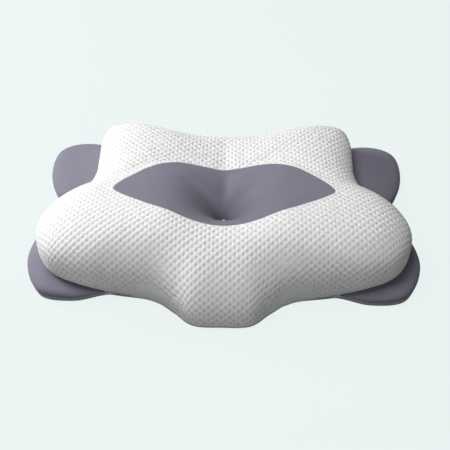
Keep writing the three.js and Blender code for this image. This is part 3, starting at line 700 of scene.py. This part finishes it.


def fine_knit():
    """The grey knit: small loops, a faint grid of ribs, and painted shade that darkens it towards the
    funnel's floor.
    """
    material, tree, shader = new_material("grey_fine_knit")
    vector, u, v = cloth_uv(tree)
    loops = knit_height(tree, u, v, 0.9, 0.8)
    upright = maths(tree, "POWER", ripple(tree, u, RIB_U), 3)
    level = maths(tree, "POWER", ripple(tree, v, RIB_V), 4)
    grid = maths(tree, "MAXIMUM", upright, level)
    mottling = noise(tree, 25, 4, vector)
    specks = noise(tree, 900, 2, vector)
    base = mix(tree, mottling, colour("#7d7a89"), colour("#898695"))
    base = mix(tree, maths(tree, "MULTIPLY", grid, RIB_SHADE), base, colour("#5d5a6c"))
    base = mix(tree, maths(tree, "MULTIPLY", specks, 0.22), base, colour("#a7a4b4"))
    # painted shade: the grey knit darkens towards the funnel's floor, standing in for the valley's shadow
    funnel_shade_mask = add_node(tree, "ShaderNodeAttribute", attribute_name="funnel_shade_mask").outputs["Fac"]
    shade = maths(tree, "MULTIPLY", maths(tree, "POWER", funnel_shade_mask, 0.7), PAINTED_FUNNEL_SHADE)
    base = mix(tree, shade, base, colour("#2b2934"))
    height = maths(tree, "MULTIPLY_ADD", grid, -0.35, loops)
    settings = {"Roughness": 0.8, "Sheen Weight": 0.3, "Sheen Roughness": 0.45, "Specular IOR Level": 0.2}
    settings["Sheen Tint"] = colour("#bab8c4")
    dress(tree, shader, base, height, 0.55, 0.22, settings)
    return material


def base_knit():
    """The base panel's light grey knit with its small round holes."""
    material, tree, shader = new_material("base_mesh_knit")
    vector = add_node(tree, "ShaderNodeTexCoord").outputs["Object"]
    holes = add_node(tree, "ShaderNodeTexVoronoi", {"Vector": vector, "Scale": 420, "Randomness": 0.25})
    hollow = maths(tree, "SUBTRACT", 1, holes.outputs["Distance"])
    mottling = noise(tree, 18, 3, vector)
    base = mix(tree, mottling, colour("#a5a4a8"), colour("#b6b5b9"))
    shade = maths(tree, "MULTIPLY", maths(tree, "POWER", hollow, 3), 0.35)
    base = mix(tree, shade, base, colour("#737279"))
    settings = {"Roughness": 0.9, "Sheen Weight": 0.12}
    dress(tree, shader, base, holes.outputs["Distance"], 0.5, 0.3, settings)
    return material


def solid(name, dark, light, roughness, grain, bump_depth, metallic=0.0):
    """Moulded, foamed or cast material: two close shades mixed by a grain, which also roughens it."""
    material, tree, shader = new_material(name)
    vector = add_node(tree, "ShaderNodeTexCoord").outputs["Object"]
    mottling = noise(tree, grain, 3, vector)
    base = mix(tree, mottling, colour(dark), colour(light))
    rough = maths(tree, "MULTIPLY_ADD", mottling, 0.2, roughness - 0.1)
    tree.links.new(rough, shader.inputs["Roughness"])
    dress(tree, shader, base, mottling, 0.6, bump_depth, {"Metallic": metallic})
    return material


def woven(name, dark, light, across, along, sheen):
    """Plain weave in object space: threads along x crossed by threads along z."""
    material, tree, shader = new_material(name)
    vector = add_node(tree, "ShaderNodeTexCoord").outputs["Object"]
    split = add_node(tree, "ShaderNodeSeparateXYZ", {"Vector": vector})
    warp, weft = ripple(tree, split.outputs["X"], across), ripple(tree, split.outputs["Z"], along)
    over = maths(tree, "ABSOLUTE", maths(tree, "SUBTRACT", warp, weft))
    mottling = noise(tree, 700, 2, vector)
    shade = maths(tree, "MULTIPLY_ADD", over, 0.7, maths(tree, "MULTIPLY", mottling, 0.3))
    base = mix(tree, shade, colour(dark), colour(light))
    dress(tree, shader, base, over, 0.6, 0.15, {"Roughness": 0.6, "Sheen Weight": sheen})
    return material


white_knit = puff_knit()
grey_knit = fine_knit()
under_knit = base_knit()
foam = solid("memory_foam", "#e6dcc0", "#f3ecd6", 0.85, 350, 0.3)
liner = solid("liner_cloth", "#e9e9ea", "#f5f5f5", 0.9, 900, 0.1)
plastic = solid("white_plastic", "#efefee", "#f8f8f8", 0.35, 120, 0.02)
cord_thread = solid("cord", "#dcdcda", "#f0f0ee", 0.75, 2500, 0.08)
tape_weave = woven("zipper_tape", "#6e6a7d", "#8b879b", 0.9, 0.8, 0.25)
nylon = solid("nylon_coil", "#7b7789", "#918da0", 0.4, 300, 0.02)
zinc = solid("zinc_alloy", "#8d8b93", "#a9a7ae", 0.35, 260, 0.03, metallic=0.9)
satin = woven("label_satin", "#e4e4e4", "#fbfbfb", 0.35, 0.5, 0.4)
thread = solid("grey_thread", "#7c788c", "#9c98ab", 0.7, 2200, 0.05)


# ------------------------------------------------------------------ the cover
BODY_COLUMNS, BODY_ROWS = 1480, 128
CENTRE_COLUMNS, CENTRE_ROWS = 360, 96
WING_COLUMNS, WING_ROWS = 220, 44
BASE_COLUMNS, BASE_ROWS = 420, 60
ZIP_Z, ZIP_ROOM, OPENING_HALF = 17, 7, 142  # the zipper's height, its room up and down, half its length
REAR_WALL_Y = 186  # everything behind this is the flat back

coarse_skin = simulate_swelling()


def zip_gap(s):
    """Cloth left out next to the zipper: its room on the columns behind the opening, else nothing."""
    seam = lines_at(s)["seam"]
    behind = (np.abs(seam[:, 0]) < OPENING_HALF) & (seam[:, 1] > REAR_WALL_Y)
    return np.where(behind, ZIP_ROOM, 0.0)


body_s = evenly_round(BODY_COLUMNS)
body_gap = zip_gap(body_s)
body = panel("body_panel_cloth", "body", body_s, BODY_ROWS, coarse_skin, skip_end=body_gap, puffs=True)
place(body, "pillow", "white_puff_knit", white_knit, "cover_body_panel")

centre_s = evenly_round(CENTRE_COLUMNS, "panel")
centre = panel("centre_panel_cloth", "funnel", centre_s, CENTRE_ROWS, coarse_skin)
place(centre, "pillow", "grey_fine_knit", grey_knit, "cover_centre_panel")

WINGS = {
    "front_right": FRONT_WING,
    "rear_right": REAR_WING,
    "rear_left": (LOOP - REAR_WING[1], LOOP - REAR_WING[0]),
    "front_left": (LOOP - FRONT_WING[1], LOOP - FRONT_WING[0]),
}
WING_END = 0.06  # the panels stop just short of the points where they run out
for where, (start, end) in WINGS.items():
    wing_s = evenly_round(WING_COLUMNS, "edge", start + WING_END, end - WING_END)
    wing = panel(f"{where}_wing_cloth", "wing", wing_s, WING_ROWS, coarse_skin, closed=False)
    place(wing, "pillow", "grey_fine_knit", grey_knit, f"wing_panel_{where}")

base_s = evenly_round(BASE_COLUMNS, "edge")
base = panel("base_panel_cloth", "base", base_s, BASE_ROWS, coarse_skin, skip_start=zip_gap(base_s))
place(base, "pillow", "base_mesh_knit", under_knit, "cover_base_panel")


# ------------------------------------------------------------------ inside the cover
WELD = 0.01  # points closer than this are one
FOAM_VOXEL, FOAM_SMOOTHING = 4, 6


def soft_copy(node, name, slot, material, voxel=None):
    """A soft solid taken from the CAD node and smoothed: remeshed evenly first if a voxel size is given."""
    obj = bpy.data.objects.new(name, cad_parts[node].data.copy())
    bpy.context.scene.collection.objects.link(obj)
    weld = obj.modifiers.new("Weld", "WELD")
    weld.merge_threshold = WELD * MM
    if voxel:
        remesh = obj.modifiers.new("Remesh", "REMESH")
        remesh.mode = "VOXEL"
        remesh.voxel_size = voxel * MM
        relax = obj.modifiers.new("Smooth", "SMOOTH")
        relax.iterations = FOAM_SMOOTHING
    else:
        smooth = obj.modifiers.new("Subdivision", "SUBSURF")
        smooth.levels = smooth.render_levels = 1
    bpy.context.view_layer.update()
    graph = bpy.context.evaluated_depsgraph_get()
    final = bpy.data.meshes.new_from_object(obj.evaluated_get(graph))
    obj.modifiers.clear()
    obj.data = final
    final.polygons.foreach_set("use_smooth", np.ones(len(final.polygons), bool))
    return place(obj, "pillow", slot, material, node)


soft_copy("foam_core", "foam_block", "memory_foam", foam, FOAM_VOXEL)
soft_copy("liner_top", "top_liner_cloth", "liner_cloth", liner)
soft_copy("liner_base", "base_liner_cloth", "liner_cloth", liner)


# ------------------------------------------------------------------ the tuft
def box_mm(node):
    """The low and high corners of a CAD node's box, in mm."""
    low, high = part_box(node)
    return np.array(low) / MM, np.array(high) / MM


def lathe(name, node, profile, segments=48):
    """A turned piece that fills the node's box. The profile is (radius, height) pairs from 0 to 1, and
    starts and ends on the axis."""
    low, high = box_mm(node)
    foot = [(low[0] + high[0]) / 2, (low[1] + high[1]) / 2, low[2]]
    radius, height = np.array(profile, float).T * [[(high[0] - low[0]) / 2], [high[2] - low[2]]]
    turn = np.linspace(0, 2 * np.pi, segments, endpoint=False)[:, None]
    rings = [radius[None] * np.cos(turn), radius[None] * np.sin(turn), height[None] + 0 * turn]
    return grid_mesh(name, np.stack(rings, 2)[::-1] + foot, weld=True)


def tube(name, points, radius, up, sides=8):
    """A round wire along the points; up gives a direction across the wire at each point."""
    tangent = np.gradient(points, axis=0)
    tangent /= np.linalg.norm(tangent, axis=1, keepdims=True)
    first = up - (up * tangent).sum(1, keepdims=True) * tangent
    first /= np.linalg.norm(first, axis=1, keepdims=True)
    second = np.cross(tangent, first)
    turn = np.linspace(0, 2 * np.pi, sides, endpoint=False)
    ring = first[:, None] * np.cos(turn)[None, :, None] + second[:, None] * np.sin(turn)[None, :, None]
    grid = points[:, None] + ring * radius
    obj = grid_mesh(name, grid, closed=False, ring=True)
    close_ends(obj)
    return obj


def join_meshes(name, objects):
    """One smooth object from several, which are removed."""
    bm = bmesh.new()
    for obj in objects:
        bm.from_mesh(obj.data)
        bpy.data.objects.remove(obj)
    mesh = bpy.data.meshes.new(name)
    bm.to_mesh(mesh)
    bm.free()
    mesh.polygons.foreach_set("use_smooth", np.ones(len(mesh.polygons), bool))
    joined = bpy.data.objects.new(name, mesh)
    bpy.context.scene.collection.objects.link(joined)
    return joined


BUTTON_PROFILE = (
    (0, 0), (0.6, 0), (0.85, 0.06), (0.97, 0.2), (1, 0.38), (0.97, 0.56), (0.86, 0.76), (0.66, 0.9),
    (0.4, 0.97), (0.2, 0.995), (0, 1),
)
button = lathe("button_cap", "tuft_button", BUTTON_PROFILE)
place(button, "pillow", "white_plastic", plastic, "tuft_button")

DISC_PROFILE = (
    (0, 0), (0.12, 0), (0.14, 0.25), (0.5, 0.25), (0.53, 0), (0.9, 0), (0.97, 0.15), (1, 0.4), (1, 0.65),
    (0.97, 0.9), (0.9, 1), (0.55, 1), (0.5, 0.8), (0.3, 0.8), (0.27, 1), (0.2, 1), (0, 1),
)
disc = lathe("backing_disc", "tuft_backing_disc", DISC_PROFILE)
place(disc, "pillow", "white_plastic", plastic, "tuft_backing_disc")

CORD_TURN = 5.0  # the two strands go round each other once in this length
CORD_STEPS = 14  # points in each of those turns
STRAND_OFFSET = 0.8  # how far a strand's middle is from the cord's, in strand radii


def twisted_cord():
    """Two strands twisted round each other."""
    low, high = box_mm("tuft_cord")
    length = high[2] - low[2]
    strand = (high[0] - low[0]) / 4
    steps = np.linspace(0, 1, int(length / CORD_TURN * CORD_STEPS))
    foot = np.array([(low[0] + high[0]) / 2, (low[1] + high[1]) / 2, low[2]])
    strands = []
    for start in (0, np.pi):
        angle = start + steps * length / CORD_TURN * 2 * np.pi
        across = np.stack([np.cos(angle), np.sin(angle), np.zeros(len(angle))], 1)
        rising = np.outer(steps * length, (0, 0, 1))
        points = foot + across * strand * STRAND_OFFSET + rising
        strands.append(tube("strand", points, strand, across))
    return join_meshes("twisted_cord", strands)


place(twisted_cord(), "pillow", "cord", cord_thread, "tuft_cord")


# ------------------------------------------------------------------ the zipper
COIL_PITCH, WIRE = 1.35, 0.3  # length of one turn, and the wire's radius
COIL_STEPS = 12  # points in each turn


def coil(where, start):
    """One row of the zipper: a wire wound along the node's box, starting at the given angle."""
    low, high = box_mm(f"zipper_coil_{where}")
    run = high[0] - low[0] - 2 * WIRE
    turns = run / COIL_PITCH
    steps = np.linspace(0, 1, int(turns * COIL_STEPS))
    angle = start + steps * turns * 2 * np.pi
    half_y, half_z = (high[1] - low[1]) / 2 - WIRE, (high[2] - low[2]) / 2 - WIRE
    across = np.stack([0 * angle, half_y * np.cos(angle), half_z * np.sin(angle)], 1)
    points = (low + high) / 2 * [0, 1, 1] + across
    points[:, 0] = low[0] + WIRE + steps * run
    return tube(f"coil_{where}", points, WIRE, across, sides=7)


for where, start in (("upper", 0), ("lower", np.pi)):
    place(coil(where, start), "pillow", "nylon_coil", nylon, f"zipper_coil_{where}")

BEVEL_ANGLE = math.radians(40)
for node, material, rounding in (
    ("zipper_tape_upper", tape_weave, 0.15), ("zipper_tape_lower", tape_weave, 0.15),
    ("zipper_top_stop", zinc, 0.3), ("zipper_bottom_stop", zinc, 0.3),
    ("zipper_slider", zinc, 0.25), ("zipper_pull", zinc, 0.25),
):
    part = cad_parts[node]
    part.data.materials.clear()
    part.data.materials.append(material)
    weld = part.modifiers.new("Weld", "WELD")
    weld.merge_threshold = WELD * MM
    bevel = part.modifiers.new("Bevel", "BEVEL")
    bevel.width = rounding * MM
    bevel.segments = 2
    bevel.limit_method = "ANGLE"
    bevel.angle_limit = BEVEL_ANGLE

STITCH, STITCH_PITCH, STITCH_RADIUS = 2.5, 3.2, 0.38
HEM = 2.6  # the stitches are this far from the cloth's edge
PAST_OPENING = 2  # and go on this far past the zipper's ends
REAR_Y = 192


def stitch_row(name, y, z):
    """A straight row of stitches along x, one small capsule each, slightly sunk into the cloth."""
    along = np.linspace(-1, 1, 7)
    radius = STITCH_RADIUS * np.sqrt(np.maximum(0.02, 1 - along**4))[:, None]
    turn = np.linspace(0, 2 * np.pi, 8, endpoint=False)[None]
    rings = [along[:, None] * STITCH / 2 + 0 * turn, y + radius * np.cos(turn), z + radius * np.sin(turn)]
    grid = np.stack(rings, 2)
    count = int(2 * (OPENING_HALF + PAST_OPENING) / STITCH_PITCH)
    stitches = []
    for n in range(count):
        x = (n - (count - 1) / 2) * STITCH_PITCH
        stitch = grid_mesh("stitch", grid + [x, 0, 0], closed=False, ring=True)
        close_ends(stitch)
        stitches.append(stitch)
    return join_meshes(name, stitches)


for where, z in (("upper", ZIP_Z + ZIP_ROOM + HEM), ("lower", ZIP_Z - ZIP_ROOM - HEM)):
    row = stitch_row(f"zipper_stitches_{where}", REAR_Y, z)
    place(row, "pillow", "zipper_tape", thread)


# ------------------------------------------------------------------ the folded label
LABEL_FOLD, LABEL_CLOTH = 0.35, 0.16  # radius of the fold at the bottom, and the cloth's thickness
LABEL_CURL, LABEL_WAVE = 1.4, 0.4  # how far the bottom stands out, and how much it waves across


def folded_label():
    """A strip folded in half at the bottom and sewn in at the top, curling a little away from the wall."""
    low, high = box_mm("care_label")
    middle_y = (low[1] + high[1]) / 2
    columns = np.linspace(low[0], high[0], 18)
    down = np.linspace(0, 1, 24) * (high[2] - low[2] - LABEL_FOLD)
    front_y = np.full(len(down), middle_y + LABEL_FOLD)
    fold = np.linspace(0, np.pi, 9)[1:-1]
    path_y = np.concatenate([front_y, middle_y + LABEL_FOLD * np.cos(fold), front_y - 2 * LABEL_FOLD])
    bottom = low[2] + LABEL_FOLD * (1 - np.sin(fold))
    path_z = np.concatenate([high[2] - down, bottom, high[2] - down[::-1]])
    fallen = ((high[2] - path_z) / (high[2] - low[2])) ** 2
    across = (columns - low[0]) / (high[0] - low[0]) * 2 * np.pi
    wave = LABEL_WAVE * np.sin(across)[:, None] * fallen[None]
    y = (path_y + LABEL_CURL * fallen)[None] + wave
    grid = np.stack(np.broadcast_arrays(columns[:, None], y, path_z[None]), 2)
    label = grid_mesh("folded_label", grid, closed=False)
    thick = label.modifiers.new("Solidify", "SOLIDIFY")
    thick.thickness = LABEL_CLOTH * MM
    thick.offset = 0
    return label


place(folded_label(), "pillow", "label_satin", satin, "care_label")


# ------------------------------------------------------------------ floor, light and camera
PALE = "#eaf3f2"
FLOOR_SIZE, FLOOR_DROP = 12.0, 0.0004  # metres; the drop keeps the floor clear of the resting face
PAPER_GLOW, PAPER_SHADE = 1.02, 0.06  # strength of the paper's glow, and its share that takes shadows
EVEN_LIGHT = 0.05  # strength of the faint light from all round


def pale_floor():
    """To the camera it is nearly shadowless paper; the pillow is lit by a plain grey studio floor."""
    material, tree, shader = new_material("pale_floor")
    shader.inputs["Base Color"].default_value = colour("#9fa3a3")
    shader.inputs["Roughness"].default_value = 0.9
    glow = add_node(tree, "ShaderNodeEmission", {"Color": colour(PALE), "Strength": PAPER_GLOW})
    paper = add_node(tree, "ShaderNodeBsdfDiffuse", {"Color": colour(PALE)})
    seen = add_node(tree, "ShaderNodeMixShader", {0: PAPER_SHADE, 1: glow.outputs[0], 2: paper.outputs[0]})
    shown_to_camera(tree, shader.outputs[0], seen.outputs[0], "Material Output")
    return material


def shown_to_camera(tree, lighting, seen, output):
    """Sends one shader to the output for the camera's rays and the other for all the rest."""
    camera_ray = add_node(tree, "ShaderNodeLightPath").outputs["Is Camera Ray"]
    both = add_node(tree, "ShaderNodeMixShader", {0: camera_ray, 1: lighting, 2: seen})
    tree.links.new(both.outputs[0], tree.nodes[output].inputs["Surface"])


def lay_floor():
    bpy.ops.mesh.primitive_plane_add(size=FLOOR_SIZE, location=(0, 0, -FLOOR_DROP))
    floor = bpy.context.object
    floor.name = "floor"
    floor.data.materials.append(pale_floor())


def pale_studio():
    """The camera sees the same pale paper behind the pillow; the pillow is lit by a faint even light."""
    world = bpy.data.worlds.new("studio")
    bpy.context.scene.world = world
    world.use_nodes = True
    tree = world.node_tree
    faint = tree.nodes["Background"]
    faint.inputs["Color"].default_value = colour("#eef1f4")
    faint.inputs["Strength"].default_value = EVEN_LIGHT
    seen = add_node(tree, "ShaderNodeBackground", {"Color": colour(PALE), "Strength": 1.0})
    shown_to_camera(tree, faint.outputs[0], seen.outputs[0], "World Output")


LIGHT_AIM = Vector((0, 0, 0.05))  # the middle of the pillow


def area_light(name, position, size, watts):
    light = bpy.data.lights.new(name, "AREA")
    light.size = size
    light.energy = watts
    obj = bpy.data.objects.new(name, light)
    obj.location = position
    obj.rotation_euler = (Vector(position) - LIGHT_AIM).to_track_quat("Z", "Y").to_euler()
    bpy.context.scene.collection.objects.link(obj)


lay_floor()
pale_studio()
area_light("key", (-1.8, 0.8, 0.95), 0.6, 36)
area_light("overhead", (-0.6, 0.0, 2.1), 1.2, 28)
area_light("front_fill", (0.3, -2.0, 1.3), 1.6, 7)

CAMERA_AIM = Vector((0, -0.021, 0.040))
CAMERA_AZIMUTH, CAMERA_ELEVATION = math.radians(1.2), math.radians(44)
CAMERA_DISTANCE = 1.317
SENSOR, LENS = 36.0, 62.72  # both in mm
SHIFT = 0.0022  # sideways, as a share of the picture's width


def set_camera():
    data = bpy.data.cameras.new("camera")
    data.sensor_width = SENSOR
    data.lens = LENS
    data.shift_x = SHIFT
    camera = bpy.data.objects.new("camera", data)
    turn = Euler((math.pi / 2 - CAMERA_ELEVATION, 0, CAMERA_AZIMUTH))
    camera.rotation_euler = turn
    camera.location = CAMERA_AIM + turn.to_matrix() @ Vector((0, 0, CAMERA_DISTANCE))
    bpy.context.scene.collection.objects.link(camera)
    bpy.context.scene.camera = camera
    bpy.context.scene.view_settings.view_transform = "Standard"


set_camera()
